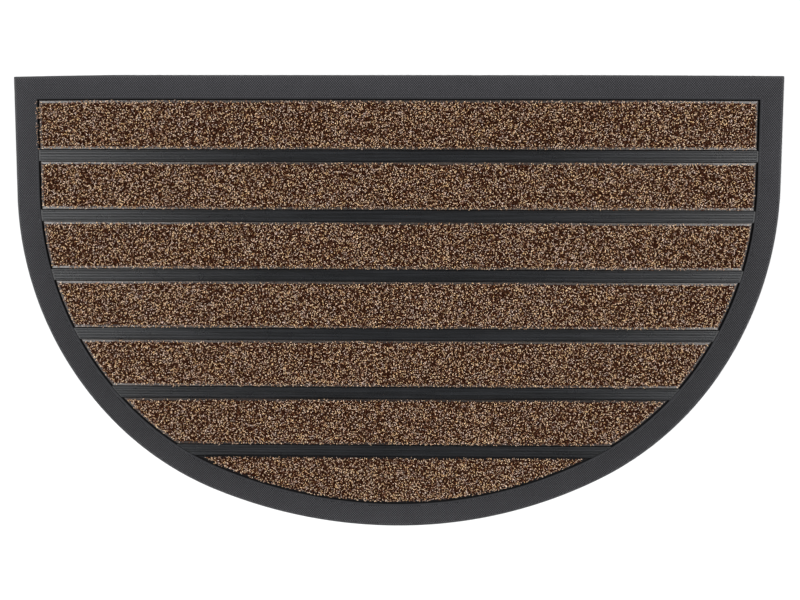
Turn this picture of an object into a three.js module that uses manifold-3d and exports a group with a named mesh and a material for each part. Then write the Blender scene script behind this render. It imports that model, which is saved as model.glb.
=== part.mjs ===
// A half round doormat: one moulded rubber tray with ribbed bars across it, and a strip of short pile
// carpet lying in each recess of the tray. Millimetres, +Z up. The origin is on the floor, under the
// middle of the mat. The straight edge lies towards +Y and the round end towards -Y.

import * as THREE from 'three';
import { mergeVertices } from 'three/addons/utils/BufferGeometryUtils.js';
import Module from 'manifold-3d';

const wasm = await Module();
wasm.setup();

// The mat in plan
const matWidth = 750;
const matDepth = 449;
const halfWidth = matWidth / 2;
const straightEdgeY = matDepth / 2;
const crownY = -matDepth / 2;

// Each side of the round end has three arcs: a wide one at the crown, a tighter one on the flank, and
// one that runs tangent into the straight side. An angle is turned from the crown, in degrees. The
// left flank is a little fuller than the right one.
const roundEnd = {
  left: { crownRadius: 480, crownAngle: 22.3, flankRadius: 298, flankAngle: 47.1 },
  right: { crownRadius: 447, crownAngle: 27, flankRadius: 302.5, flankAngle: 57 },
};
const degreesPerStep = 3.2;

// Near the left corner the straight edge falls back by a little, along a soft curve.
const cornerFall = 1.7;
const cornerFallLength = 90;
const cornerFallSteps = 3;

// The tray's cross-section, from its outer edge inwards: a low rounded lip, a long shallow slope, a
// flat bead, and the wall down to the floor of the recess.
const borderWidth = 22.7;
const trayFloor = 1.8;
const beadWidth = 1.4;
const beadHeight = 4.2;
const borderSection = [
  { inset: 0, height: 0 },
  { inset: 0, height: 1.2 },
  { inset: 0.9, height: 1.9 },
  { inset: borderWidth - beadWidth - 0.4, height: 3.9 },
  { inset: borderWidth - beadWidth, height: beadHeight },
  { inset: borderWidth, height: beadHeight },
  { inset: borderWidth, height: trayFloor },
];

// The bars part the carpet strips. Each carries low ribs along its length.
const barWidth = 10.4;
const barHeight = 3.5;
const ribCount = 4;
const ribPitch = 2.6;
const ribHeight = 0.6;
const ribFoot = 1.7;
const ribTop = 0.9;
const barIntoTray = 0.4;
const gapBeforeBar = 1.4;
const gapAfterBar = 0.6;

// The carpet strips, measured back from the straight edge
const stripCount = 7;
const stripPitch = 58.72;
const firstStripEnd = 71.85;
const grooveWidth = 1.8;
const carpetInset = borderWidth + grooveWidth;

// A strip's cross-section, from its own edge inwards: the pressed flat edge, then the pile.
const carpetLift = 0.3;
const carpetSection = [
  { inset: 0, height: trayFloor + carpetLift },
  { inset: 0, height: 3.6 },
  { inset: 2.2, height: 3.9 },
  { inset: 2.5, height: 6.4 },
  { inset: 3.6, height: 7.2 },
];
const pileUnevenness = 0.3;
const columnWidth = 20;
const rowsAcross = 5;
// The last strip's round side is shared out between its two ends and its bottom edge.
const lastStripEndShare = 0.62;

const rubber = { color: 0x444448, roughness: 0.72, metalness: 0 };
const brownPile = { color: 0x6b4a35, roughness: 0.95, metalness: 0 };

// The three arcs of one side, each with its centre, radius and the angles it runs between. The centre
// is on the side where x is positive; the left side is mirrored where it is used.
function arcsOf({ crownRadius, crownAngle, flankRadius, flankAngle }) {
  const first = THREE.MathUtils.degToRad(crownAngle);
  const second = THREE.MathUtils.degToRad(flankAngle);
  const flankX = Math.sin(first) * (crownRadius - flankRadius);
  const flankY = crownY + crownRadius - Math.cos(first) * (crownRadius - flankRadius);
  const reach = halfWidth - flankX - Math.sin(second) * flankRadius;
  const shoulderRadius = reach / (1 - Math.sin(second));
  return [
    { x: 0, y: crownY + crownRadius, radius: crownRadius, from: 0, to: first },
    { x: flankX, y: flankY, radius: flankRadius, from: first, to: second },
    {
      x: flankX + Math.sin(second) * (flankRadius - shoulderRadius),
      y: flankY - Math.cos(second) * (flankRadius - shoulderRadius),
      radius: shoulderRadius,
      from: second,
      to: Math.PI / 2,
    },
  ];
}

const sides = {
  left: { sign: -1, arcs: arcsOf(roundEnd.left) },
  right: { sign: 1, arcs: arcsOf(roundEnd.right) },
};

// Points up one side of the round end, from the crown to the straight side, inset from the edge.
function roundPoints({ sign, arcs }, inset) {
  const points = [];
  for (const arc of arcs) {
    const steps = Math.max(1, Math.round(THREE.MathUtils.radToDeg(arc.to - arc.from) / degreesPerStep));
    for (let step = 1; step <= steps; step += 1) {
      const angle = THREE.MathUtils.lerp(arc.from, arc.to, step / steps);
      const radius = arc.radius - inset;
      points.push(new THREE.Vector2(
        sign * (arc.x + Math.sin(angle) * radius),
        arc.y - Math.cos(angle) * radius,
      ));
    }
  }
  return points;
}

// The mat's outline, inset by a distance, counterclockwise from the right end of the straight edge.
function outline(inset) {
  const points = [new THREE.Vector2(halfWidth - inset, straightEdgeY - inset)];
  const fade = Math.max(0, 1 - inset / borderWidth);
  for (let step = 0; step <= cornerFallSteps; step += 1) {
    const along = step / cornerFallSteps;
    points.push(new THREE.Vector2(
      THREE.MathUtils.lerp(cornerFallLength - halfWidth, inset - halfWidth, along),
      straightEdgeY - inset - cornerFall * fade * along * along,
    ));
  }
  points.push(...roundPoints(sides.left, inset).reverse());
  points.push(new THREE.Vector2(0, crownY + inset));
  points.push(...roundPoints(sides.right, inset));
  return points;
}

// The x of one side's inset edge at a given y.
function edgeX({ sign, arcs }, y, inset) {
  const arc = arcs.find(({ y: centre, radius, to }) => y < centre - Math.cos(to) * (radius - inset) - 1e-6);
  if (!arc) {
    return sign * (halfWidth - inset);
  }
  return sign * (arc.x + Math.sqrt((arc.radius - inset) ** 2 - (y - arc.y) ** 2));
}

// The y of the round end's inset edge at a given x.
function edgeY(x, inset) {
  const { arcs } = x < 0 ? sides.left : sides.right;
  const arc = arcs.find(({ x: centre, radius, to }) => Math.abs(x) < centre + Math.sin(to) * (radius - inset));
  return arc.y - Math.sqrt((arc.radius - inset) ** 2 - (Math.abs(x) - arc.x) ** 2);
}

const raised = (point, height) => new THREE.Vector3(point.x, point.y, height);

// A closed solid is gathered as loose triangles, which are then joined at their shared points.
function solidFrom(triangles) {
  const geometry = new THREE.BufferGeometry().setFromPoints(triangles);
  return mergeVertices(geometry, 1e-4);
}

function addQuad(triangles, a, b, c, d) {
  triangles.push(a, b, c, a, c, d);
}

// The walls between successive rings of points.
function addWalls(triangles, rings) {
  for (let level = 1; level < rings.length; level += 1) {
    const below = rings[level - 1];
    const above = rings[level];
    for (let i = 0; i < below.length; i += 1) {
      const next = (i + 1) % below.length;
      addQuad(triangles, below[i], below[next], above[next], above[i]);
    }
  }
}

// A flat face over a ring of points, facing up or down.
function addFace(triangles, ring, facesUp) {
  const flat = ring.map(({ x, y }) => new THREE.Vector2(x, y));
  for (const [a, b, c] of THREE.ShapeUtils.triangulateShape(flat, [])) {
    triangles.push(ring[a], facesUp ? ring[b] : ring[c], facesUp ? ring[c] : ring[b]);
  }
}

function closedLoft(rings) {
  const triangles = [];
  addFace(triangles, rings[0], false);
  addWalls(triangles, rings);
  addFace(triangles, rings[rings.length - 1], true);
  return solidFrom(triangles);
}

function toManifold(geometry) {
  const merged = geometry.clone();
  merged.deleteAttribute('normal');
  merged.deleteAttribute('uv');
  const joined = mergeVertices(merged, 1e-4);
  return new wasm.Manifold(new wasm.Mesh({
    numProp: 3,
    vertProperties: new Float32Array(joined.attributes.position.array),
    triVerts: new Uint32Array(joined.index.array),
  }));
}

function fromManifold(solid) {
  const { vertProperties, triVerts } = solid.getMesh();
  const geometry = new THREE.BufferGeometry();
  geometry.setAttribute('position', new THREE.BufferAttribute(new Float32Array(vertProperties), 3));
  geometry.setIndex(new THREE.BufferAttribute(new Uint32Array(triVerts), 1));
  return geometry;
}

// Where a strip lies: the y of its two long edges. The last strip ends on the round edge instead.
function stripPlace(number) {
  const before = firstStripEnd + stripPitch * (number - 2);
  return {
    top: straightEdgeY - (number === 1 ? carpetInset : before + gapBeforeBar + barWidth + gapAfterBar),
    bottom: straightEdgeY - (before + stripPitch),
    endsOnRound: number === stripCount,
  };
}

// A bar's section, drawn with its width along x and its height along y.
function barSection() {
  const half = barWidth / 2;
  const shape = new THREE.Shape();
  shape.moveTo(-half, trayFloor - barIntoTray);
  shape.lineTo(half, trayFloor - barIntoTray);
  shape.lineTo(half, barHeight);
  for (let rib = ribCount - 1; rib >= 0; rib -= 1) {
    const centre = (rib - (ribCount - 1) / 2) * ribPitch;
    shape.lineTo(centre + ribFoot / 2, barHeight);
    shape.lineTo(centre + ribTop / 2, barHeight + ribHeight);
    shape.lineTo(centre - ribTop / 2, barHeight + ribHeight);
    shape.lineTo(centre - ribFoot / 2, barHeight);
  }
  shape.lineTo(-half, barHeight);
  shape.closePath();
  return shape;
}

// A bar runs along x between the strip with this number and the next one.
function barAfter(number) {
  const geometry = new THREE.ExtrudeGeometry(barSection(), { depth: matWidth, bevelEnabled: false });
  const sectionToMat = new THREE.Matrix4().set(0, 0, 1, 0, 1, 0, 0, 0, 0, 1, 0, 0, 0, 0, 0, 1);
  geometry.applyMatrix4(sectionToMat);
  const middle = stripPlace(number).bottom - gapBeforeBar - barWidth / 2;
  return geometry.translate(-halfWidth, middle, 0);
}

function rubberTray() {
  const rings = borderSection.map(({ inset, height }) => (
    outline(inset).map((point) => raised(point, height))
  ));
  let tray = toManifold(closedLoft(rings));
  const insideBorder = outline(borderWidth - barIntoTray);
  const room = toManifold(closedLoft([0, matDepth].map((height) => (
    insideBorder.map((point) => raised(point, height))
  ))));
  for (let number = 1; number < stripCount; number += 1) {
    tray = tray.add(toManifold(barAfter(number)).intersect(room));
  }
  return fromManifold(tray);
}

// The four edges of a strip, inset from its own outline, as functions of a share from 0 to 1. The
// long edges run from left to right, and the ends run from the top edge to the bottom one.
function stripEdges({ top, bottom, endsOnRound }, inset) {
  const depth = carpetInset + inset;
  const topY = top - inset;
  const cornerX = (side) => edgeX(side, topY, depth);
  const lastX = (side) => lastStripEndShare * cornerX(side);
  const bottomY = (side) => (endsOnRound ? edgeY(lastX(side), depth) : bottom + inset);
  const end = (side) => (share) => {
    const y = THREE.MathUtils.lerp(topY, bottomY(side), share);
    return new THREE.Vector2(edgeX(side, y, depth), y);
  };
  const left = end(sides.left);
  const right = end(sides.right);
  return {
    left,
    right,
    top: (share) => new THREE.Vector2().lerpVectors(left(0), right(0), share),
    bottom: (share) => {
      const point = new THREE.Vector2().lerpVectors(left(1), right(1), share);
      if (endsOnRound) {
        point.y = edgeY(point.x, depth);
      }
      return point;
    },
  };
}

// A point inside four edges, blended from all of them.
function blendedPoint(edges, across, down) {
  const point = new THREE.Vector2();
  point.addScaledVector(edges.top(across), 1 - down);
  point.addScaledVector(edges.bottom(across), down);
  point.addScaledVector(edges.left(down), 1 - across);
  point.addScaledVector(edges.right(down), across);
  point.addScaledVector(edges.top(0), -(1 - across) * (1 - down));
  point.addScaledVector(edges.top(1), -across * (1 - down));
  point.addScaledVector(edges.bottom(0), -(1 - across) * down);
  point.addScaledVector(edges.bottom(1), -across * down);
  return point;
}

// The four edges as one ring, counterclockwise from the top left corner.
function stripRing(edges, columns, height) {
  const ring = [];
  for (let row = 0; row < rowsAcross; row += 1) {
    ring.push(edges.left(row / rowsAcross));
  }
  for (let column = 0; column < columns; column += 1) {
    ring.push(edges.bottom(column / columns));
  }
  for (let row = rowsAcross; row > 0; row -= 1) {
    ring.push(edges.right(row / rowsAcross));
  }
  for (let column = columns; column > 0; column -= 1) {
    ring.push(edges.top(column / columns));
  }
  return ring.map((point) => raised(point, height));
}

// The pile's top is a little uneven, and level at its rim.
function pileHeight(point, isRim) {
  const { height } = carpetSection[carpetSection.length - 1];
  if (isRim) {
    return height;
  }
  const swell = Math.sin(point.x / 37 + point.y / 11) + Math.cos(point.x / 13 - point.y / 23);
  return height + pileUnevenness * 0.5 * (1 + swell / 2);
}

function carpetStrip(number) {
  const place = stripPlace(number);
  const length = edgeX(sides.right, place.top, carpetInset) - edgeX(sides.left, place.top, carpetInset);
  const columns = Math.round(length / columnWidth);
  const rings = carpetSection.map(({ inset, height }) => (
    stripRing(stripEdges(place, inset), columns, height)
  ));
  const triangles = [];
  addFace(triangles, rings[0], false);
  addWalls(triangles, rings);
  const edges = stripEdges(place, carpetSection[carpetSection.length - 1].inset);
  const topPoint = (column, row) => {
    const isRim = column === 0 || column === columns || row === 0 || row === rowsAcross;
    const point = blendedPoint(edges, column / columns, row / rowsAcross);
    return raised(point, pileHeight(point, isRim));
  };
  for (let column = 0; column < columns; column += 1) {
    for (let row = 0; row < rowsAcross; row += 1) {
      addQuad(
        triangles,
        topPoint(column, row + 1),
        topPoint(column + 1, row + 1),
        topPoint(column + 1, row),
        topPoint(column, row),
      );
    }
  }
  return solidFrom(triangles);
}

function namedMesh(name, geometry, finish) {
  geometry.computeVertexNormals();
  const mesh = new THREE.Mesh(geometry, new THREE.MeshStandardMaterial(finish));
  mesh.name = name;
  return mesh;
}

const doormat = new THREE.Group();
doormat.add(namedMesh('rubber_tray', rubberTray(), rubber));
for (let number = 1; number <= stripCount; number += 1) {
  doormat.add(namedMesh(`carpet_strip_${number}`, carpetStrip(number), brownPile));
}

export default doormat;
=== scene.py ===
# The looks of a half round doormat: a moulded rubber tray with a knurled border and ribbed bars, and
# seven strips of short curly pile carpet lying in it. Sizes are in millimetres unless a comment says
# otherwise, and a mesh is turned into metres when it is made. The straight edge lies towards +Y.

import math

import bpy
import numpy as np
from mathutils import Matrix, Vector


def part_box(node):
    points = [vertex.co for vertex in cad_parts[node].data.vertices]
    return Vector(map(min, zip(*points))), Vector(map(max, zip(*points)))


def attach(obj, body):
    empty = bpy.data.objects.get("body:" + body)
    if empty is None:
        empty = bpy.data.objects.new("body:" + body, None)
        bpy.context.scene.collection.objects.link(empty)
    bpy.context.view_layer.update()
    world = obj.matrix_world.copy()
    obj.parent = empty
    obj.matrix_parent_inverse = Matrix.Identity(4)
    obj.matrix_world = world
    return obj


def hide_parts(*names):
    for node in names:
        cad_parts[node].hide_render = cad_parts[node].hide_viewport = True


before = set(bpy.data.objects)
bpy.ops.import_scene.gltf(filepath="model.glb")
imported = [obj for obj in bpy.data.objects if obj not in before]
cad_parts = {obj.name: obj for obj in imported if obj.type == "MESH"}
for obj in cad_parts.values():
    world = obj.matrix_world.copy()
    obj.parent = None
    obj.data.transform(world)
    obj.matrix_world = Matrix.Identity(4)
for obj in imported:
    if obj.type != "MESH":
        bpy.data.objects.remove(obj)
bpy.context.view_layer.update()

MM = 0.001
TINY = 1e-6
random = np.random.default_rng(23)


# Sizes

def box_of(node):
    """A CAD node's lowest and highest corner, in millimetres."""
    low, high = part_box(node)
    return np.array(low) / MM, np.array(high) / MM


tray_low, tray_high = box_of("rubber_tray")
half_width = tray_high[0]
straight_edge_y = tray_high[1]
crown_y = tray_low[1]

# Each side of the round end has three arcs: a wide one at the crown, a tighter one on the flank, and
# one that runs tangent into the straight side. An angle is turned from the crown, in degrees.
ROUND_END = {
    "left": {"sign": -1, "crown_radius": 480, "crown_angle": 22.3, "flank_radius": 298, "flank_angle": 47.1},
    "right": {"sign": 1, "crown_radius": 447, "crown_angle": 27, "flank_radius": 302.5, "flank_angle": 57},
}
# Both ends of the straight edge fall back a little, and take the groove and the carpet with them.
EDGE_FALLS = [
    {"sign": -1, "fall": 1.7, "length": 100, "power": 1.2, "reach": 50},
    {"sign": 1, "fall": 0.8, "length": 190, "power": 1.5, "reach": 100},
]
# The greatest distance down the mat between two rows of points in a recess
EDGE_STEP = 5

BORDER_WIDTH = 23.1
TRAY_FLOOR = 1.8
KNURL_START = 2.2
KNURL_END = 20.9
# The tray's edge and border, from the outer edge inwards, as (inset, height): a rounded rim, the slope
# that carries the knurl, and a bead
BORDER_SECTION = [
    (0, 0), (0, 0.9), (0.1, 1.3), (0.35, 1.65), (0.8, 1.88), (1.5, 1.97), (KNURL_START, 2.03),
    (KNURL_END, 3.82), (21.5, 3.88), (21.7, 4.06), (22, 4.16), (22.4, 4.2), (22.7, 4.16), (22.95, 4.03),
    (BORDER_WIDTH, 3.75),
]
# The tray's faces by their finish
ON_RIM, UNDER_KNURL, ON_BEAD, ON_BAR, IN_RECESS = range(5)

BAR_WIDTH = 10.9
BAR_HEIGHT = 3.5
BAR_DRAFT = 0.2
# A bar's rounded shoulder, as (inset, drop) from its side and its top
BAR_SHOULDER = [(0, 0.3), (0.15, 0.05)]
# This far short of the wall a bar's ribs have ended, and its top has sloped down by the fall.
BAR_END_NOTCH = 1.3
BAR_END_SLOPE = 0.35
BAR_END_FALL = 0.35
# A row of points along a bar has one on each wall and four between them.
BAR_ROW_POINTS = 6
RIB_COUNT = 4
RIB_PITCH = 2.6
RIB_HEIGHT = 0.6
RIB_FOOT = 1.8
RIB_STEPS = 6
RIB_ROUNDING = 1.4
GAP_BEFORE_BAR = 0.9
# Below the last bar lie this many times as many rows of points.
CROWN_ROWS = 4
# The wall inside the border drops by at least this much.
LEAST_WALL = 0.05
# Edges that bend by more than this many degrees stay sharp.
TRAY_SHARP_ANGLE = 38

STRIP_COUNT = 7
GROOVE_WIDTH = 1.7
CARPET_INSET = BORDER_WIDTH + GROOVE_WIDTH
# Where the last strip's ends meet its lower edge on the round, as a share of its half width
LAST_STRIP_END_SHARE = 0.62


class Side:
    """One side of the mat's outline: its three arcs, below a straight stretch."""

    def __init__(self, sign, crown_radius, crown_angle, flank_radius, flank_angle):
        first = math.radians(crown_angle)
        second = math.radians(flank_angle)
        flank_x = math.sin(first) * (crown_radius - flank_radius)
        flank_y = crown_y + crown_radius - math.cos(first) * (crown_radius - flank_radius)
        reach = half_width - flank_x - math.sin(second) * flank_radius
        shoulder = reach / (1 - math.sin(second))
        shoulder_x = flank_x + math.sin(second) * (flank_radius - shoulder)
        shoulder_y = flank_y - math.cos(second) * (flank_radius - shoulder)
        self.sign = sign
        self.arcs = [
            (0, crown_y + crown_radius, crown_radius, 0, first),
            (flank_x, flank_y, flank_radius, first, second),
            (shoulder_x, shoulder_y, shoulder, second, math.pi / 2),
        ]

    def edge_x(self, y, inset):
        """The x of this side's inset edge at each y."""
        y = np.asarray(y, float)
        x = np.full(y.shape, half_width - inset)
        for arc_x, arc_y, radius, _, end in reversed(self.arcs):
            reach = radius - inset
            within = y < arc_y - math.cos(end) * reach - TINY
            across = np.sqrt(np.maximum(reach**2 - (y - arc_y) ** 2, 0))
            x = np.where(within, arc_x + across, x)
        return self.sign * x

    def station(self, y, inset):
        """A point on the outer edge and the way out from it, whose inset point has this y."""
        for arc_x, arc_y, radius, _, end in self.arcs:
            reach = radius - inset
            if y < arc_y - math.cos(end) * reach - TINY:
                cosine = (arc_y - y) / reach
                sine = math.sqrt(max(0, 1 - cosine**2))
                x = self.sign * (arc_x + sine * radius)
                return (x, arc_y - cosine * radius), (self.sign * sine, -cosine)
        return (self.sign * half_width, y), (self.sign, 0)

    def depth(self, x, y):
        """How far inside this side's outer edge each point lies, where x is on this side."""
        across = np.abs(x)
        found = half_width - across
        for arc_x, arc_y, radius, start, end in self.arcs:
            turned = np.arctan2(across - arc_x, arc_y - y)
            inside = (turned >= start) & (turned < end) & (y < arc_y)
            found = np.where(inside, radius - np.hypot(across - arc_x, y - arc_y), found)
        return found


LEFT = Side(**ROUND_END["left"])
RIGHT = Side(**ROUND_END["right"])


def edge_depth(x, y):
    """How far inside the mat's outer edge each point lies."""
    from_side = np.where(x < 0, LEFT.depth(x, y), RIGHT.depth(x, y))
    return np.minimum(straight_edge_y - y, from_side)


def settled(points):
    """The points with the straight edge's falls applied, which fade out away from that edge."""
    moved = np.array(points, float)
    x, y = moved[:, 0], moved[:, 1].copy()
    for edge in EDGE_FALLS:
        along = np.clip((edge["sign"] * x - half_width) / edge["length"] + 1, 0, 1)
        near = np.clip(1 - (straight_edge_y - y) / edge["reach"], 0, 1)
        moved[:, 1] -= edge["fall"] * along ** edge["power"] * near
    return moved


# Meshes and materials

def make_piece(name, points, faces, materials, face_materials=None, smooth=False):
    """A piece of the mat from points in millimetres and faces, an array of triangles or a list."""
    mesh = bpy.data.meshes.new(name)
    points = settled(points) * MM
    if isinstance(faces, np.ndarray):
        mesh.vertices.add(len(points))
        mesh.vertices.foreach_set("co", points.astype(np.float32).ravel())
        mesh.loops.add(faces.size)
        mesh.loops.foreach_set("vertex_index", faces.astype(np.int32).ravel())
        mesh.polygons.add(len(faces))
        starts = np.arange(len(faces), dtype=np.int32) * faces.shape[1]
        mesh.polygons.foreach_set("loop_start", starts)
        mesh.update(calc_edges=True)
    else:
        mesh.from_pydata([tuple(point) for point in points], [], faces)
    for material in materials:
        mesh.materials.append(material)
    if face_materials is not None:
        mesh.polygons.foreach_set("material_index", np.asarray(face_materials, np.int32))
    mesh.polygons.foreach_set("use_smooth", np.full(len(mesh.polygons), smooth))
    mesh.validate()
    piece = bpy.data.objects.new(name, mesh)
    bpy.context.scene.collection.objects.link(piece)
    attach(piece, "root")
    return piece


def ring_faces(level, count):
    """The faces between one ring of points and the ring before it."""
    above = level * count
    below = above - count
    afters = [(i + 1) % count for i in range(count)]
    return [(below + i, below + after, above + after, above + i) for i, after in enumerate(afters)]


def write_attribute(piece, name, values):
    """Gives each of the piece's points a number, for its material to read."""
    attribute = piece.data.attributes.new(name, "FLOAT", "POINT")
    attribute.data.foreach_set("value", values.astype(np.float32))


class Nodes:
    """A material's node tree, with short calls to add to it."""

    def __init__(self, name):
        self.material = bpy.data.materials.new(name)
        self.material.use_nodes = True
        self.tree = self.material.node_tree
        self.shader = self.tree.nodes["Principled BSDF"]
        self.places = self.add("ShaderNodeTexCoord").outputs["Object"]

    def add(self, kind, **settings):
        node = self.tree.nodes.new(kind)
        for key, value in settings.items():
            setattr(node, key, value)
        return node

    def link(self, source, target):
        self.tree.links.new(source, target)

    def put(self, socket, value):
        """Links value to the socket, or sets it there when it is a number or a colour."""
        if isinstance(value, bpy.types.NodeSocket):
            self.link(value, socket)
        else:
            socket.default_value = value

    def noise(self, size, detail=2, roughness=0.5, places=None):
        """Noise from 0 to 1 whose blotches are about this size, in millimetres."""
        node = self.add("ShaderNodeTexNoise")
        node.inputs["Scale"].default_value = 1 / (size * MM)
        node.inputs["Detail"].default_value = detail
        node.inputs["Roughness"].default_value = roughness
        self.link(places or self.places, node.inputs["Vector"])
        return node.outputs["Fac"]

    def stretched(self, along_x, along_y):
        """The places with X and Y scaled."""
        node = self.add("ShaderNodeVectorMath", operation="MULTIPLY")
        self.link(self.places, node.inputs[0])
        node.inputs[1].default_value = (along_x, along_y, 1)
        return node.outputs["Vector"]

    def ramp(self, factor, stops, interpolation="LINEAR"):
        """A colour for each position of the factor."""
        node = self.add("ShaderNodeValToRGB")
        node.color_ramp.interpolation = interpolation
        elements = node.color_ramp.elements
        while len(elements) < len(stops):
            elements.new(1)
        for element, (position, colour) in zip(elements, stops):
            element.position = position
            element.color = (*colour, 1)
        self.link(factor, node.inputs["Fac"])
        return node.outputs["Color"]

    def between(self, factor, low, high):
        """A number that runs from low to high as the factor runs from 0 to 1."""
        node = self.add("ShaderNodeMapRange")
        node.inputs["To Min"].default_value = low
        node.inputs["To Max"].default_value = high
        self.link(factor, node.inputs["Value"])
        return node.outputs["Result"]

    def mixed(self, factor, first, second, blend="MIX"):
        """The first colour with the second one over it, by the factor."""
        node = self.add("ShaderNodeMix", data_type="RGBA", blend_type=blend)
        self.put(node.inputs["Factor"], factor)
        self.put(node.inputs["A"], first if isinstance(first, bpy.types.NodeSocket) else (*first, 1))
        self.put(node.inputs["B"], second if isinstance(second, bpy.types.NodeSocket) else (*second, 1))
        return node.outputs["Result"]

    def attribute(self, name, output="Fac"):
        """A number that was written on the piece's points."""
        return self.add("ShaderNodeAttribute", attribute_name=name).outputs[output]

    def bump(self, height, distance):
        """A bump of this height in millimetres."""
        node = self.add("ShaderNodeBump")
        node.inputs["Distance"].default_value = distance * MM
        node.inputs["Strength"].default_value = 1
        self.link(height, node.inputs["Height"])
        return node.outputs["Normal"]

    def surface(self, colour, roughness, normal=None, shine=0.5):
        """The finished material."""
        self.put(self.shader.inputs["Base Color"], colour)
        self.put(self.shader.inputs["Roughness"], roughness)
        self.shader.inputs["Specular IOR Level"].default_value = shine
        if normal:
            self.link(normal, self.shader.inputs["Normal"])
        return self.material


# The rubber's blotches, dust, grain, gloss and lines: their sizes, the scale along X that draws the
# lines out, how much the dust shows, and how many times lighter than the light tone the dust and the
# lines are
BLOTCH_SIZE = 45
DUST_SIZE = 1.6
DUST_SHARE = 0.22
DUST_LIGHTER = 2.2
GRAIN_SIZE = 0.5
GLOSS_SIZE = 12
LINE_SIZE = 1.5
LINE_SQUEEZE = 0.02
LINE_LIGHTER = 4


def times(factor, colour):
    """The colour made lighter by this factor."""
    return tuple(factor * part for part in colour)


def rubber_material(name, dark, light, roughness, grain, shine, with_painted_light=False, lines=0):
    """Moulded rubber: blotches, a little dust, a fine grain and perhaps painted light and shade, or lines
    along X.
    """
    nodes = Nodes(name)
    blotches = nodes.noise(BLOTCH_SIZE, detail=4, roughness=0.6)
    dust = nodes.noise(DUST_SIZE, detail=3, roughness=0.7)
    tone = nodes.ramp(blotches, [(0.3, dark), (0.7, light)])
    toned = nodes.mixed(nodes.between(dust, 0, DUST_SHARE), tone, times(DUST_LIGHTER, light))
    # Painted light and shade, read from the points, lighten or darken the tone.
    if with_painted_light:
        toned = nodes.mixed(1.0, toned, nodes.attribute("painted_light", "Color"), "MULTIPLY")
    if lines:
        streaks = nodes.noise(LINE_SIZE, detail=2, places=nodes.stretched(LINE_SQUEEZE, 1))
        lined = nodes.ramp(streaks, [(0.42, (0, 0, 0)), (0.62, (lines, lines, lines))])
        toned = nodes.mixed(lined, toned, times(LINE_LIGHTER, light))
    grained = nodes.bump(nodes.noise(GRAIN_SIZE, detail=2), grain)
    gloss = nodes.between(nodes.noise(GLOSS_SIZE, detail=3), *roughness)
    return nodes.surface(toned, gloss, grained, shine)


rim_rubber = rubber_material(
    "rim_rubber", (0.016, 0.016, 0.018), (0.021, 0.021, 0.023),
    roughness=(0.7, 0.85), grain=0.05, shine=0.5,
)
# The rubber between the knurl's pyramids is painted near black, as painted shade between them.
ground_painted_shade = rubber_material(
    "ground_painted_shade", (0.003, 0.003, 0.0035), (0.005, 0.005, 0.006),
    roughness=(0.8, 0.9), grain=0.05, shine=0.25,
)
# The bead is the rim's rubber painted a little darker, as painted shade on the bead.
bead_painted_shade = rubber_material(
    "bead_painted_shade", (0.013, 0.013, 0.015), (0.017, 0.017, 0.019),
    roughness=(0.75, 0.9), grain=0.05, shine=0.3,
)
knurl_rubber = rubber_material(
    "knurl_rubber", (0.0325, 0.0315, 0.036), (0.039, 0.038, 0.0425),
    roughness=(0.7, 0.85), grain=0.03, shine=0.5, with_painted_light=True,
)
bar_rubber = rubber_material(
    "bar_rubber", (0.003, 0.0032, 0.0037), (0.005, 0.0053, 0.006),
    roughness=(0.24, 0.33), grain=0.012, shine=0.5, lines=0.45,
)
# Near black rubber: painted shade for the recess floor and its walls in the groove, and for the strips' cut
# ends, which are dark backing with painted shade beside the groove.
recess_shade_and_cut_rubber = rubber_material(
    "recess_shade_and_cut_rubber", (0.003, 0.003, 0.0035), (0.005, 0.005, 0.0055),
    roughness=(0.85, 0.95), grain=0.02, shine=0.2,
)


# The rubber tray

def strip_place(number):
    """The y of a strip's two long edges, as its CAD node has them, and whether it ends on the round."""
    low, high = box_of(f"carpet_strip_{number}")
    return high[1], low[1], number == STRIP_COUNT


def bar_rows():
    """Points across every bar, from the straight edge on, as (y, height, height at the bar's ends)."""
    half = BAR_WIDTH / 2
    side = [(-half - BAR_DRAFT, TRAY_FLOOR)]
    side += [(-half + inset, BAR_HEIGHT - drop) for inset, drop in BAR_SHOULDER]
    across = list(side)
    for rib in range(RIB_COUNT):
        centre = (rib - (RIB_COUNT - 1) / 2) * RIB_PITCH
        for step in range(RIB_STEPS + 1):
            share = 2 * step / RIB_STEPS - 1
            swell = math.cos(share * math.pi / 2) ** RIB_ROUNDING if abs(share) < 1 else 0
            across.append((centre + share * RIB_FOOT / 2, BAR_HEIGHT + RIB_HEIGHT * swell))
    across += [(-offset, height) for offset, height in reversed(side)]
    rows = []
    for number in range(1, STRIP_COUNT):
        middle = strip_place(number)[1] - GAP_BEFORE_BAR - half
        for offset, height in across:
            rows.append((middle - offset, height, min(height, BAR_HEIGHT - BAR_END_FALL)))
    return rows


def tray_rows():
    """All rows of points across the tray's recess: the bars' and enough others for a smooth outline."""
    first_y = straight_edge_y - BORDER_WIDTH
    last_y = crown_y + BORDER_WIDTH
    bars = bar_rows()
    rows = [(first_y, TRAY_FLOOR, TRAY_FLOOR)] + bars
    gaps = [(before[0], after[0]) for before, after in zip(rows, rows[1:])] + [(bars[-1][0], last_y)]
    for above, below in gaps:
        if above - below < EDGE_STEP:
            continue
        steps = math.ceil((above - below) / EDGE_STEP)
        shares = np.arange(1, steps) / steps
        if below == last_y:
            # The rows crowd together towards the crown, where the outline runs level.
            steps *= CROWN_ROWS
            shares = 1 - (1 - np.arange(1, steps) / steps) ** 2
        rows += [(above + (below - above) * share, TRAY_FLOOR, TRAY_FLOOR) for share in shares]
    return sorted(rows, key=lambda row: -row[0])


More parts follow.
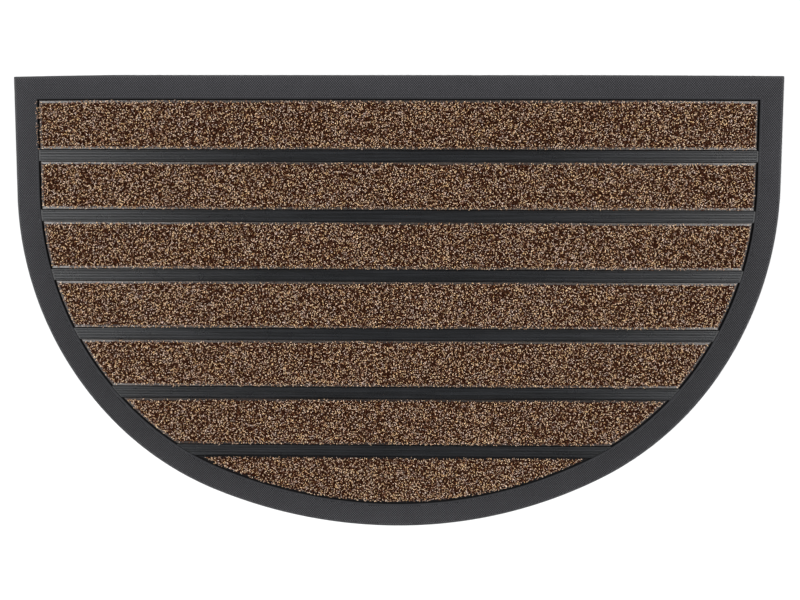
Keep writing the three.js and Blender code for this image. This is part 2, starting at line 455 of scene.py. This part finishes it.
def moulded_tray():
    """The tray: rings of points round its border, then rows of points across its recess."""
    rows = tray_rows()
    row_count = len(rows)
    inner_half = half_width - BORDER_WIDTH
    straight = np.linspace(inner_half, -inner_half, round(inner_half / EDGE_STEP))[1:-1]
    stations = [((half_width, straight_edge_y), (1, 1))]
    stations += [((x, straight_edge_y), (0, 1)) for x in straight]
    stations.append(((-half_width, straight_edge_y), (-1, 1)))
    top_count = len(stations)
    stations += [LEFT.station(y, BORDER_WIDTH) for y, _, _ in rows[1:]]
    stations.append(((0, crown_y), (0, -1)))
    stations += [RIGHT.station(y, BORDER_WIDTH) for y, _, _ in reversed(rows[1:])]
    edge = np.array([place for place, _ in stations])
    outward = np.array([way for _, way in stations])
    count = len(stations)

    rings = [
        np.column_stack([edge - inset * outward, np.full(count, height)])
        for inset, height in BORDER_SECTION
    ]
    end_heights = np.full(count, TRAY_FLOOR, float)
    left_row = {row: top_count - 1 + row for row in range(row_count)}
    right_row = {row: (count - row) % count for row in range(row_count)}
    for row, (_, _, end_height) in enumerate(rows):
        end_heights[left_row[row]] = end_height
        end_heights[right_row[row]] = end_height
    foot = rings[-1].copy()
    foot[:, 2] = np.minimum(end_heights, foot[:, 2] - LEAST_WALL)
    rings.append(foot)
    points = list(np.concatenate(rings))
    faces = [tuple(range(count - 1, -1, -1))]
    finish = [ON_RIM]
    finish_of = [ON_RIM] * len(rings)
    for level, (inset, _) in enumerate(BORDER_SECTION):
        if inset > KNURL_START:
            finish_of[level] = UNDER_KNURL if inset <= KNURL_END else ON_BEAD
    finish_of[-1] = IN_RECESS
    for level in range(1, len(rings)):
        faces += ring_faces(level, count)
        finish += [finish_of[level]] * count

    # Each row runs from the left wall to the right one, and its ribs stop short of both.
    foot_start = (len(rings) - 1) * count
    row_points = []
    for row, (y, height, _) in enumerate(rows):
        left = foot[left_row[row]]
        right = foot[right_row[row]]
        ends = [foot_start + left_row[row]]
        if height > TRAY_FLOOR + TINY:
            for x, z in (
                (left[0] + BAR_END_NOTCH, left[2]),
                (left[0] + BAR_END_NOTCH + BAR_END_SLOPE, height),
                (right[0] - BAR_END_NOTCH - BAR_END_SLOPE, height),
                (right[0] - BAR_END_NOTCH, right[2]),
            ):
                ends.append(len(points))
                points.append(np.array([x, y, z]))
        ends.append(foot_start + right_row[row])
        row_points.append(ends)
    row_points[0] = [foot_start + i for i in range(top_count - 1, -1, -1)]
    row_points.append([foot_start + top_count - 1 + row_count])
    for above, below in zip(row_points, row_points[1:]):
        if len(above) == len(below) == BAR_ROW_POINTS:
            for i in range(BAR_ROW_POINTS - 1):
                faces.append((above[i], below[i], below[i + 1], above[i + 1]))
                finish.append(ON_BAR)
        else:
            faces.append(tuple(below + above[::-1]))
            finish.append(IN_RECESS)
    materials = [rim_rubber, ground_painted_shade, bead_painted_shade, bar_rubber, recess_shade_and_cut_rubber]
    tray = make_piece(
        "moulded_tray", points, faces, materials, face_materials=finish, smooth=True
    )
    tray.data.set_sharp_from_angle(angle=math.radians(TRAY_SHARP_ANGLE))
    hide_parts("rubber_tray")
    return tray


# The knurl: low pyramids in slanting rows, all over the border's slope
KNURL_PITCH = np.array([2.3, 2.55])
KNURL_FILL = 0.76
KNURL_HEIGHT = 0.35
KNURL_SUNK = 0.05
# The knurl's tone is painted light and shade: lighter towards the outer edge, where the border runs along X
# and about a place left of the middle of the straight edge, and darker where the border runs aslant and on
# the right
USUAL_PAINTED_LIGHT = 0.97
OUTER_PAINTED_LIGHT = 0.3
LEVEL_PAINTED_LIGHT = 0.07
ASLANT_PAINTED_SHADE = 0.36
RIGHT_PAINTED_SHADE = 0.04
MIDDLE_PAINTED_LIGHT = 0.14
MIDDLE_PAINTED_LIGHT_X = -60
MIDDLE_PAINTED_LIGHT_REACH = 320


def outward_x(points, step=0.1):
    """How far sideways the way out from the border's edge points, at each point."""
    x, y = points[:, 0], points[:, 1]
    return (edge_depth(x - step, y) - edge_depth(x + step, y)) / (2 * step)


def border_height(depth):
    """The height of the border's slope and bead this far inside the outer edge."""
    insets, heights = np.array(BORDER_SECTION[1:]).T
    return np.interp(depth, insets, heights)


def border_knurl():
    """The low pyramids on the border's slope. Each has its own tone of painted light and shade."""
    columns = np.arange(-half_width, half_width, KNURL_PITCH[0])
    lines = np.arange(crown_y, straight_edge_y, KNURL_PITCH[1])
    grid = np.array(np.meshgrid(columns, lines)).reshape(2, -1).T
    centres = np.concatenate([grid, grid + KNURL_PITCH / 2])
    depth = edge_depth(centres[:, 0], centres[:, 1])
    centres = centres[(depth > KNURL_START) & (depth < KNURL_END)]
    reach = KNURL_PITCH / 2 * KNURL_FILL
    corners = np.array([(1, 0), (0, 1), (-1, 0), (0, -1)]) * reach
    base = centres[:, None, :] + corners
    base_height = border_height(edge_depth(base[..., 0], base[..., 1])) - KNURL_SUNK
    tip_height = border_height(edge_depth(centres[:, 0], centres[:, 1])) + KNURL_HEIGHT
    # Each pyramid has the four corners of its base and then its tip.
    points = np.empty((len(centres), 5, 3))
    points[:, :4, :2] = base
    points[:, :4, 2] = base_height
    points[:, 4, :2] = centres
    points[:, 4, 2] = tip_height
    pattern = np.array([(0, 1, 4), (1, 2, 4), (2, 3, 4), (3, 0, 4), (2, 1, 0), (3, 2, 0)])
    faces = (np.arange(len(centres))[:, None, None] * points.shape[1] + pattern).reshape(-1, 3)
    knurl = make_piece("border_knurl", points.reshape(-1, 3), faces, [knurl_rubber])
    # Painted light and shade on the knurl, by how far in it lies and which way the border runs.
    depth = edge_depth(centres[:, 0], centres[:, 1])
    sideways = outward_x(centres)
    aslant = np.abs(2 * sideways) * np.sqrt(np.maximum(1 - sideways**2, 0))
    from_middle = np.abs(centres[:, 0] - MIDDLE_PAINTED_LIGHT_X) / MIDDLE_PAINTED_LIGHT_REACH
    at_middle = np.clip(1 - from_middle, 0, 1) * (centres[:, 1] > straight_edge_y - BORDER_WIDTH)
    painted_light = USUAL_PAINTED_LIGHT + OUTER_PAINTED_LIGHT * (0.5 - depth / BORDER_WIDTH) + MIDDLE_PAINTED_LIGHT * at_middle
    painted_light += LEVEL_PAINTED_LIGHT * (1 - np.abs(sideways)) - ASLANT_PAINTED_SHADE * aslant
    painted_light -= RIGHT_PAINTED_SHADE * np.maximum(sideways, 0)
    write_attribute(knurl, "painted_light", np.repeat(painted_light, points.shape[1]))


# The carpet strips' pressed backing
FLANGE_WIDTH = 2.5
# From the strip's own edge inwards: the cut side, the pressed flange, and the felt below the pile
BACKING_SECTION = [
    (0, 2.1), (0, 3.25), (0.12, 3.5), (0.4, 3.62), (0.8, 3.64), (1.3, 3.66), (FLANGE_WIDTH, 3.72),
    (3.1, 4.3), (4, 4.7),
]
# The flange is a little wavy past this inset, by this height and these lengths.
WAVE_START = 0.3
FLANGE_WAVE = 0.06
WAVE_ALONG = 7.3
WAVE_ACROSS = 5.1
WAVE_DRIFT = 23
# How far in from each end of a strip its flange is near black: partly its cut backing, partly painted shade
# beside the groove
LEFT_CUT_SHADE = 0.5
RIGHT_CUT_SHADE = 0.9
# The backing's faces by their finish
SATIN, DULL, END, CUT_SHADE, FELTED = range(5)
# This strip's flange has less shine than the others, and is painted darker as painted shade.
DULL_STRIP = 6
BACKING_COLUMN = 4
BACKING_ROWS = 12
BACKING_SHARP_ANGLE = 50


def strip_end(number, side, inset, share):
    """Points down one end of a strip, inset from its own outline, at shares from its top to its foot."""
    top, bottom, ends_on_round = strip_place(number)
    depth = CARPET_INSET + inset
    top_y = top - inset
    low_y = bottom + inset
    if ends_on_round:
        x = LAST_STRIP_END_SHARE * abs(side.edge_x(top_y, depth))
        low_y = round_y(side, x, depth)
    y = top_y + (low_y - top_y) * share
    return np.column_stack([side.edge_x(y, depth), y])


def round_y(side, x, inset):
    """The y of the round end's inset edge at a distance x from the middle."""
    for arc_x, arc_y, radius, _, end in side.arcs:
        if x < arc_x + math.sin(end) * (radius - inset):
            return arc_y - math.sqrt((radius - inset) ** 2 - (x - arc_x) ** 2)
    raise ValueError("x lies past the round end")


def strip_ring(number, inset, columns):
    """A ring of points round a strip, counterclockwise from its top left corner."""
    down = np.arange(BACKING_ROWS) / BACKING_ROWS
    left = strip_end(number, LEFT, inset, down)
    right = strip_end(number, RIGHT, inset, down + 1 / BACKING_ROWS)[::-1]
    whole = np.array([0.0, 1.0])
    top_left, low_left = strip_end(number, LEFT, inset, whole)
    top_right, low_right = strip_end(number, RIGHT, inset, whole)
    share = np.arange(columns)[:, None] / columns
    low = low_left + (low_right - low_left) * share
    if number == STRIP_COUNT:
        depth = CARPET_INSET + inset
        low[:, 1] = [round_y(LEFT if x < 0 else RIGHT, abs(x), depth) for x in low[:, 0]]
    high = top_right + (top_left - top_right) * share
    return np.concatenate([left, low, right, high])


def carpet_backing(number):
    """A strip's backing: its cut side, its pressed flange and the felt that the pile stands on."""
    outline = strip_ring(number, 0, 1)
    length = outline[:, 0].max() - outline[:, 0].min()
    columns = round(length / BACKING_COLUMN)
    rings = []
    for inset, height in BACKING_SECTION:
        ring = strip_ring(number, inset, columns)
        x, y = ring.T
        wave = FLANGE_WAVE * np.sin(x / WAVE_ALONG + number) * np.sin(y / WAVE_ACROSS + x / WAVE_DRIFT)
        rise = wave if WAVE_START < inset <= FLANGE_WIDTH else 0 * wave
        rings.append(np.column_stack([ring, height + rise]))
    count = len(rings[0])
    points = np.concatenate(rings)
    faces = [tuple(range(count - 1, -1, -1))]
    finish = [FELTED]
    # The flange near each end, and all of the last strip's, takes the near black rubber: cut backing with
    # painted shade.
    cut = np.zeros(count)
    cut[:BACKING_ROWS] = LEFT_CUT_SHADE
    cut[BACKING_ROWS + columns:2 * BACKING_ROWS + columns] = RIGHT_CUT_SHADE
    flange = np.where(cut > 0, END, DULL if number == DULL_STRIP else SATIN)
    if number == STRIP_COUNT:
        flange[:] = CUT_SHADE
    for level in range(1, len(rings)):
        inset = BACKING_SECTION[level][0]
        faces += ring_faces(level, count)
        if inset > FLANGE_WIDTH:
            finish += [FELTED] * count
        else:
            finish += list(np.where(inset <= cut, CUT_SHADE, flange))
    faces.append(tuple((len(rings) - 1) * count + i for i in range(count)))
    finish.append(FELTED)
    materials = [satin_edge, dull_painted_shade_edge, end_edge, recess_shade_and_cut_rubber, felt]
    backing = make_piece(
        f"carpet_backing_{number}", points, faces, materials,
        face_materials=finish, smooth=True,
    )
    backing.data.set_sharp_from_angle(angle=math.radians(BACKING_SHARP_ANGLE))
    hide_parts(f"carpet_strip_{number}")
    return backing


# A pressed edge's streaks, dark patches and nap: their sizes, how much the patches show, the nap's
# height, and the edge's roughness in the dark streaks and in the light ones
STREAK_SIZE = 1.1
PATCH_SIZE = 14
PATCH_SHARE = 0.7
NAP_SIZE = 0.9
NAP_HEIGHT = 0.05
PRESSED_ROUGHNESS = (0.22, 0.36)
# The felt's fibres: their size, their height and their tones
FELT_SIZE = 0.9
FELT_HEIGHT = 0.6
FELT_TONES = [
    (0.38, (0.006, 0.0015, 0.0005)),
    (0.52, (0.026, 0.009, 0.0042)),
    (0.62, (0.08, 0.037, 0.02)),
    (0.72, (0.19, 0.11, 0.068)),
]


def pressed_material(name, dark, middle, light, shine):
    """A strip's edge, where heat and pressure have fused the pile into a band."""
    nodes = Nodes(name)
    streaks = nodes.noise(STREAK_SIZE, detail=3, roughness=0.6)
    patches = nodes.noise(PATCH_SIZE, detail=2)
    tone = nodes.ramp(streaks, [(0.3, dark), (0.52, middle), (0.75, light)])
    shaded = nodes.mixed(nodes.between(patches, 0, PATCH_SHARE), tone, dark)
    raised = nodes.bump(nodes.noise(NAP_SIZE, detail=2), NAP_HEIGHT)
    return nodes.surface(shaded, nodes.between(streaks, *PRESSED_ROUGHNESS), raised, shine)


def felt_material():
    """The dark felt that shows between the tufts."""
    nodes = Nodes("felt")
    fibres = nodes.noise(FELT_SIZE, detail=3, roughness=0.65)
    tone = nodes.ramp(fibres, FELT_TONES)
    return nodes.surface(tone, 0.95, nodes.bump(fibres, FELT_HEIGHT), shine=0.02)


satin_edge = pressed_material(
    "satin_edge", (0.020, 0.014, 0.011), (0.045, 0.034, 0.028), (0.10, 0.08, 0.068), shine=1
)
# A darker, less shiny copy of the satin edge: its darker tones are painted shade.
dull_painted_shade_edge = pressed_material(
    "dull_painted_shade_edge", (0.015, 0.011, 0.010), (0.032, 0.026, 0.023), (0.06, 0.047, 0.04), shine=0.3
)
end_edge = pressed_material(
    "end_edge", (0.017, 0.012, 0.009), (0.045, 0.034, 0.028), (0.10, 0.077, 0.065), shine=0.27
)
felt = felt_material()


# The pile: short curly tufts. Each is a flat three-sided spindle that runs up, turns and then dips.
TUFT_SPACING = 1.34
TUFT_JITTER = 0.5
TUFT_THICKNESS = 0.78
THICKNESS_SPREAD = (0.8, 1.15)
TUFT_FLATNESS = 0.55
TUFT_LENGTH = (1.7, 3.3)
TUFT_CURL = 1.7
ROOT_SUNK = 0.2
# The pile's greatest height, how far below it a tuft may stay and how seldom it stays far below, and
# the lower height at its edge, from where it rises over the shoulder
PILE_HEIGHT = 7.2
PILE_DIP = 1.6
DIP_RARENESS = 1.5
PILE_SHOULDER = 4
PILE_EDGE_HEIGHT = 5.4
TUFT_SIDES = 3
# How far along and how high a tuft's root, middle and tip lie, as shares
TUFT_STEPS = [(0, 0), (0.45, 1), (1, 0.7)]
# How far inside a strip's edge the pile starts: where the flange is bare, where it is hidden, and at
# each strip's left end and right end
BARE_START = 2.5
HIDDEN_START = 0.1
LEFT_START = [0.7, 1.2, 1.4, 1.4, 1.4, 1.2, 0.4]
RIGHT_START = [1.6, 1.6, 1.6, 1.6, 1.6, 1.6, 0.4]
# How far out a tuft's tip may lean past a strip's long edges, past each strip's left end and past
# all right ends. A lean below 0 keeps it inside.
TUFT_LEAN = 0.3
LEFT_LEAN = [1.2, 0, -0.4, -0.6, -0.6, -0.4, 0]
RIGHT_LEAN = -0.8
HEADING_TRIES = 7
# Loose light tufts lie on the bead beside this strip's left end, in a band that starts inside it.
LOOSE_STRIP = 1
LOOSE_COUNT = 48
LOOSE_START = 0.5
LOOSE_BAND = 1.5
LOOSE_RISE = 1.3
LOOSE_LENGTH = 0.6
LOOSE_SHADES = (0.58, 1)
# How bare of tufts the flange is along each strip's upper edge and along all lower edges, how far the
# barer stretches reach from each strip's left and right ends, above and below, and how bare they are
UPPER_BARENESS = [0.2, 0.6, 0.5, 0.65, 0.6, 0.4, 0]
LOWER_BARENESS = -0.15
LEFT_BARE_LENGTH = [40, 40, 15, 40, 12, 3]
RIGHT_BARE_LENGTH = [40, 40, 40, 40, 25, 3]
LEFT_BARE_LENGTH_BELOW = [3, 36, 20, 40, 40, 40]
RIGHT_BARE_LENGTH_BELOW = [16, 14, 25, 40, 40, 40]
END_BARENESS = 1.3
# Two waves along the flange make it now barer, now fuller, out of step from strip to strip.
BARE_WAVE = 0.25
SHORT_WAVE = 17
LONG_WAVE = 41
STRIP_PHASE = 2.4
UPPER_PHASE = 1.3
# The last strip's left tip has lost its pile.
WORN_TIP = 8
# A tuft is lighter near its strip's edge, and still lighter in the upper corners of these strips.
EDGE_LIGHT_REACH = 3
EDGE_LIGHTNESS = 0.5
LIGHT_CORNER_STRIPS = (5, 6)
LIGHT_CORNER_REACH = 11
CORNER_LIGHTNESS = 1.6
# On the map for the yarn's colours each tuft has a square cell, with a margin as a share of it.
CELL_MARGIN = 0.06


def tuft_template():
    """One tuft's triangles and where each corner lies on the tuft's own cell of the map."""
    root = 0
    tip = 1 + TUFT_SIDES
    faces = []
    places = []
    for side in range(TUFT_SIDES):
        here = 1 + side
        after = 1 + (side + 1) % TUFT_SIDES
        near = side / TUFT_SIDES
        far = (side + 1) / TUFT_SIDES
        between = (near + far) / 2
        faces += [(root, after, here), (here, after, tip)]
        places.append(((between, 0), (far, 0.5), (near, 0.5)))
        places.append(((near, 0.5), (far, 0.5), (between, 1)))
    return np.array(faces), np.array(places)


def tuft_points(roots, heading, curl, length, height, thickness, root_height):
    """The points of many tufts: each runs out on a curling path while it rises and then dips."""
    path = []
    place = roots
    before = 0
    for along, rise in TUFT_STEPS:
        turned = heading + curl * along
        step = (along - before) * length
        place = place + np.column_stack([np.cos(turned), np.sin(turned)]) * step[:, None]
        path.append(np.column_stack([place, root_height + (height - root_height) * rise]))
        before = along
    root, middle, tip = path
    forward = tip - root
    forward /= np.linalg.norm(forward, axis=1, keepdims=True)
    across = np.cross(forward, (0, 0, 1))
    across /= np.linalg.norm(across, axis=1, keepdims=True)
    above = np.cross(across, forward)
    ring = []
    for side in range(TUFT_SIDES):
        turn = 2 * math.pi * side / TUFT_SIDES + math.pi / 2
        offset = across * math.cos(turn) + above * math.sin(turn) * TUFT_FLATNESS
        ring.append(middle + offset * thickness[:, None] / 2)
    return np.stack([root, *ring, tip], axis=1)


def strip_depths(number, points):
    """How far inside a strip's upper, lower and end edges each point lies."""
    top, bottom, ends_on_round = strip_place(number)
    x, y = points[:, 0], points[:, 1]
    lower = edge_depth(x, y) - CARPET_INSET if ends_on_round else y - bottom
    ends = np.where(x < 0, LEFT.depth(x, y), RIGHT.depth(x, y)) - CARPET_INSET
    return top - y, lower, ends


def bareness(number, upper, x):
    """How bare of tufts the flange is, from 0 to 1, along a strip's upper or lower edge."""
    top, bottom, _ = strip_place(number)
    phase = STRIP_PHASE * number + UPPER_PHASE * upper
    waves = BARE_WAVE * np.sin(x / SHORT_WAVE + phase) + BARE_WAVE * np.sin(x / LONG_WAVE - 2 * phase)
    usual = UPPER_BARENESS[number - 1] if upper else LOWER_BARENESS
    if number == STRIP_COUNT:
        return np.clip(usual + waves, 0, 1)
    left = (LEFT_BARE_LENGTH if upper else LEFT_BARE_LENGTH_BELOW)[number - 1]
    right = (RIGHT_BARE_LENGTH if upper else RIGHT_BARE_LENGTH_BELOW)[number - 1]
    y = top if upper else bottom
    left_end, right_end = (side.edge_x(y, CARPET_INSET) for side in (LEFT, RIGHT))
    near_end = np.maximum(1 - (x - left_end) / left, 1 - (right_end - x) / right)
    return np.clip(END_BARENESS * np.clip(near_end, 0, 1) + usual + waves, 0, 1)


def within_lean(number, points):
    """Which points lie no further outside a strip's edges than a tuft may lean."""
    upper, lower, ends = strip_depths(number, points)
    end_lean = np.where(points[:, 0] < 0, LEFT_LEAN[number - 1], RIGHT_LEAN)
    lower_lean = end_lean if number == STRIP_COUNT else TUFT_LEAN
    return (upper > -TUFT_LEAN) & (lower > -lower_lean) & (ends > -end_lean)


def in_pile(number, points):
    """Which points lie where a strip's tufts have their roots."""
    upper, lower, ends = strip_depths(number, points)
    x = points[:, 0]
    start = HIDDEN_START + (BARE_START - HIDDEN_START) * bareness(number, True, x)
    end_start = np.where(x < 0, LEFT_START[number - 1], RIGHT_START[number - 1])
    within = (upper > start) & (ends > end_start)
    start = HIDDEN_START + (BARE_START - HIDDEN_START) * bareness(number, False, x)
    if number == STRIP_COUNT:
        start = end_start
        within &= x > box_of(f"carpet_strip_{number}")[0][0] + WORN_TIP
    return within & (lower > start)


def pile_places(number):
    """Roots of the tufts on a strip: a jittered triangular lattice over the whole pile."""
    top, bottom, _ = strip_place(number)
    lines = np.arange(bottom, top, TUFT_SPACING * math.sqrt(3) / 2)
    columns = np.arange(-half_width, half_width, TUFT_SPACING)
    grid = np.array(np.meshgrid(columns, lines)).transpose(1, 2, 0)
    grid[1::2, :, 0] += TUFT_SPACING / 2
    roots = grid.reshape(-1, 2)
    roots = roots + random.uniform(-TUFT_JITTER, TUFT_JITTER, roots.shape) * TUFT_SPACING
    return roots[in_pile(number, roots)]


def loose_places(number):
    """Roots of the tufts that lie loose on the bead."""
    count = LOOSE_COUNT if number == LOOSE_STRIP else 0
    top, bottom, _ = strip_place(number)
    y = random.uniform(bottom, top, count)
    inset = BORDER_WIDTH + LOOSE_START - random.uniform(0, LOOSE_BAND, count)
    return np.column_stack([LEFT.edge_x(y, inset), y])


def tuft_headings(number, roots, curl, length, loose):
    """Which way each tuft runs, tried again for those that would lean out past the strip's edge."""
    heading = random.uniform(0, 2 * math.pi, len(roots))
    for _ in range(HEADING_TRIES):
        middle = heading + curl / 2
        tips = roots + np.column_stack([np.cos(middle), np.sin(middle)]) * length[:, None]
        outside = ~within_lean(number, tips) & ~loose
        heading[outside] = random.uniform(0, 2 * math.pi, outside.sum())
    return heading


def carpet_pile(number):
    """A strip's tufts, with a number for each one's shade and for the height of each of its points."""
    roots = np.concatenate([loose_places(number), pile_places(number)])
    count = len(roots)
    curl = random.normal(0, TUFT_CURL, count)
    length = random.uniform(*TUFT_LENGTH, count)
    upper, lower, ends = strip_depths(number, roots)
    depth = np.minimum.reduce([upper, lower, ends])
    loose = depth < 0
    length[loose] *= LOOSE_LENGTH
    heading = tuft_headings(number, roots, curl, length, loose)
    insets, heights = np.array(BACKING_SECTION[1:]).T
    on_bead = border_height(edge_depth(roots[:, 0], roots[:, 1]))
    root_height = np.where(loose, on_bead, np.interp(depth, insets, heights)) - ROOT_SUNK
    crest = np.interp(depth, [0, PILE_SHOULDER], [PILE_EDGE_HEIGHT, PILE_HEIGHT])
    height = crest - random.uniform(0, 1, count) ** DIP_RARENESS * PILE_DIP
    height[loose] = root_height[loose] + LOOSE_RISE
    thickness = TUFT_THICKNESS * random.uniform(*THICKNESS_SPREAD, count)
    points = tuft_points(roots, heading, curl, length, height, thickness, root_height)
    template, map_places = tuft_template()
    per_tuft = points.shape[1]
    faces = (np.arange(count)[:, None, None] * per_tuft + template).reshape(-1, 3)
    pile = make_piece(
        f"carpet_pile_{number}", points.reshape(-1, 3), faces, [yarn], smooth=True
    )
    edge_light = np.clip(1 - depth / EDGE_LIGHT_REACH, 0, 1)
    corner_light = np.zeros(count)
    if number in LIGHT_CORNER_STRIPS:
        corner_light = np.clip(1 - (upper + ends) / LIGHT_CORNER_REACH, 0, 1)
    lightness = EDGE_LIGHTNESS * np.maximum(edge_light, CORNER_LIGHTNESS * corner_light)
    shades = random.uniform(0, 1, count) ** (1 - lightness)
    shades[loose] = random.uniform(*LOOSE_SHADES, loose.sum())
    write_attribute(pile, "shade", np.repeat(shades, per_tuft))
    # How high each point stands in the pile, for the yarn's painted shade low in the pile.
    rises = (points[..., 2] - root_height[:, None]) / (PILE_HEIGHT - root_height[:, None])
    write_attribute(pile, "rise", np.clip(rises, 0, 1).ravel())
    cells = math.ceil(math.sqrt(count))
    cell = np.column_stack([np.arange(count) % cells, np.arange(count) // cells])
    on_map = (cell[:, None, None, :] + CELL_MARGIN + (1 - 2 * CELL_MARGIN) * map_places) / cells
    layer = pile.data.uv_layers.new(name="OFBake")
    layer.data.foreach_set("uv", on_map.astype(np.float32).ravel())
    return pile


# The yarn's tones by a tuft's shade
YARN_TONES = [
    (0, (0.034, 0.0065, 0.0027)),
    (0.16, (0.060, 0.0145, 0.006)),
    (0.28, (0.078, 0.026, 0.013)),
    (0.38, (0.167, 0.069, 0.036)),
    (0.46, (0.33, 0.175, 0.11)),
    (0.52, (0.59, 0.372, 0.262)),
    (0.61, (0.78, 0.54, 0.325)),
    (0.71, (0.86, 0.63, 0.455)),
    (0.80, (0.97, 0.765, 0.60)),
]
# Dark fibres are spun in, up to this share.
MARL_SIZE = 0.6
MARL_TONE = (0.09, 0.042, 0.026)
MARL_SHARE = 0.28
# A tuft's tone is darkened by this tint towards its root and low in the pile: partly its own darker root,
# partly painted shade.
ROOT_AND_DEPTH_SHADE = (0.20, 0.10, 0.065)
# The pile's hue drifts a little between these two tints.
PLUM_TINT = (0.90, 0.905, 1.00)
GOLDEN_TINT = (1.145, 1.06, 0.83)
DRIFT_SIZE = 5
FIBRE_SIZE = 0.35
FIBRE_HEIGHT = 0.08


def yarn_material():
    """Yarn in several browns and creams, marled with dark fibres, and darker towards its root and low in the
    pile, partly as painted shade.
    """
    nodes = Nodes("yarn")
    tones = nodes.ramp(nodes.attribute("shade"), YARN_TONES, "CONSTANT")
    marl = nodes.ramp(nodes.noise(MARL_SIZE, detail=1), [(0.42, (0, 0, 0)), (0.58, (1, 1, 1))])
    streaked = nodes.mixed(nodes.between(marl, 0, MARL_SHARE), tones, MARL_TONE)
    # Darker low in the pile: partly the yarn's own dark root, partly painted shade.
    depth_shade = nodes.ramp(nodes.attribute("rise"), [(0.1, ROOT_AND_DEPTH_SHADE), (0.62, (1, 1, 1))])
    toned = nodes.mixed(1.0, streaked, depth_shade, "MULTIPLY")
    drift = nodes.noise(DRIFT_SIZE, detail=2, roughness=0.6)
    tint = nodes.ramp(drift, [(0.35, PLUM_TINT), (0.65, GOLDEN_TINT)])
    toned = nodes.mixed(1.0, toned, tint, "MULTIPLY")
    raised = nodes.bump(nodes.noise(FIBRE_SIZE, detail=2), FIBRE_HEIGHT)
    return nodes.surface(toned, 0.8, raised, shine=0.03)


yarn = yarn_material()

tray = moulded_tray()
border_knurl()
for number in range(1, STRIP_COUNT + 1):
    backing = carpet_backing(number)
    pile = carpet_pile(number)


# Floor, lights and camera: places in metres, angles in degrees, the lens and its sensor in millimetres
FLOOR_REACH = 6
FLOOR_COLOUR = (0.77, 0.77, 0.77, 1)
SKY_COLOUR = (0.9, 0.95, 1, 1)
# The sky's strength at the horizon and overhead, and the sine of the angle above the horizon from
# which it is as weak as overhead
HORIZON_STRENGTH = 1
ZENITH_STRENGTH = 0.1
SKY_FADE_HEIGHT = 0.6
SOFTBOX_SIZE = (1.1, 3.0)
SOFTBOX_HEIGHT = 1.2
SOFTBOXES = [
    {"name": "left_softbox", "x": -1.14, "power": 43},
    {"name": "right_softbox", "x": 1.1, "power": 40},
]
LENS = 50
SENSOR_WIDTH = 36
CAMERA_PLACE = (0.0243, 0.1085, 1.0980)
CAMERA_TURN = (-5.405, 1.086, 0.133)


def lay_floor():
    """A wide pale floor under the mat."""
    corners = [(x * FLOOR_REACH, y * FLOOR_REACH, 0) for x, y in ((-1, -1), (1, -1), (1, 1), (-1, 1))]
    mesh = bpy.data.meshes.new("floor")
    mesh.from_pydata(corners, [], [(0, 1, 2, 3)])
    floor = bpy.data.objects.new("floor", mesh)
    bpy.context.scene.collection.objects.link(floor)
    nodes = Nodes("pale_floor")
    mesh.materials.append(nodes.surface(FLOOR_COLOUR, 0.9, shine=0.1))


def light_sky():
    """A pale sky that is brightest at the horizon."""
    world = bpy.data.worlds.new("studio")
    world.use_nodes = True
    tree = world.node_tree
    background = tree.nodes["Background"]
    background.inputs["Color"].default_value = SKY_COLOUR
    direction = tree.nodes.new("ShaderNodeTexCoord")
    parts = tree.nodes.new("ShaderNodeSeparateXYZ")
    fade = tree.nodes.new("ShaderNodeMapRange")
    fade.inputs["From Max"].default_value = SKY_FADE_HEIGHT
    fade.inputs["To Min"].default_value = HORIZON_STRENGTH
    fade.inputs["To Max"].default_value = ZENITH_STRENGTH
    tree.links.new(direction.outputs["Generated"], parts.inputs["Vector"])
    tree.links.new(parts.outputs["Z"], fade.inputs["Value"])
    tree.links.new(fade.outputs["Result"], background.inputs["Strength"])
    bpy.context.scene.world = world


def hang_softbox(name, x, power):
    """A wide lamp at one side, turned towards the mat."""
    light = bpy.data.lights.new(name, "AREA")
    light.shape = "RECTANGLE"
    light.size, light.size_y = SOFTBOX_SIZE
    light.energy = power
    lamp = bpy.data.objects.new(name, light)
    lamp.location = (x, 0, SOFTBOX_HEIGHT)
    lamp.rotation_euler = (0, math.atan2(x, SOFTBOX_HEIGHT), 0)
    lamp.visible_camera = False
    bpy.context.scene.collection.objects.link(lamp)


def place_camera():
    """A camera over the mat, tipped a little towards the round end."""
    camera = bpy.data.cameras.new("camera")
    camera.lens = LENS
    camera.sensor_width = SENSOR_WIDTH
    viewer = bpy.data.objects.new("camera", camera)
    viewer.location = CAMERA_PLACE
    viewer.rotation_euler = [math.radians(angle) for angle in CAMERA_TURN]
    bpy.context.scene.collection.objects.link(viewer)
    bpy.context.scene.camera = viewer


lay_floor()
light_sky()
for softbox in SOFTBOXES:
    hang_softbox(**softbox)
place_camera()
bpy.context.scene.view_settings.view_transform = "Standard"
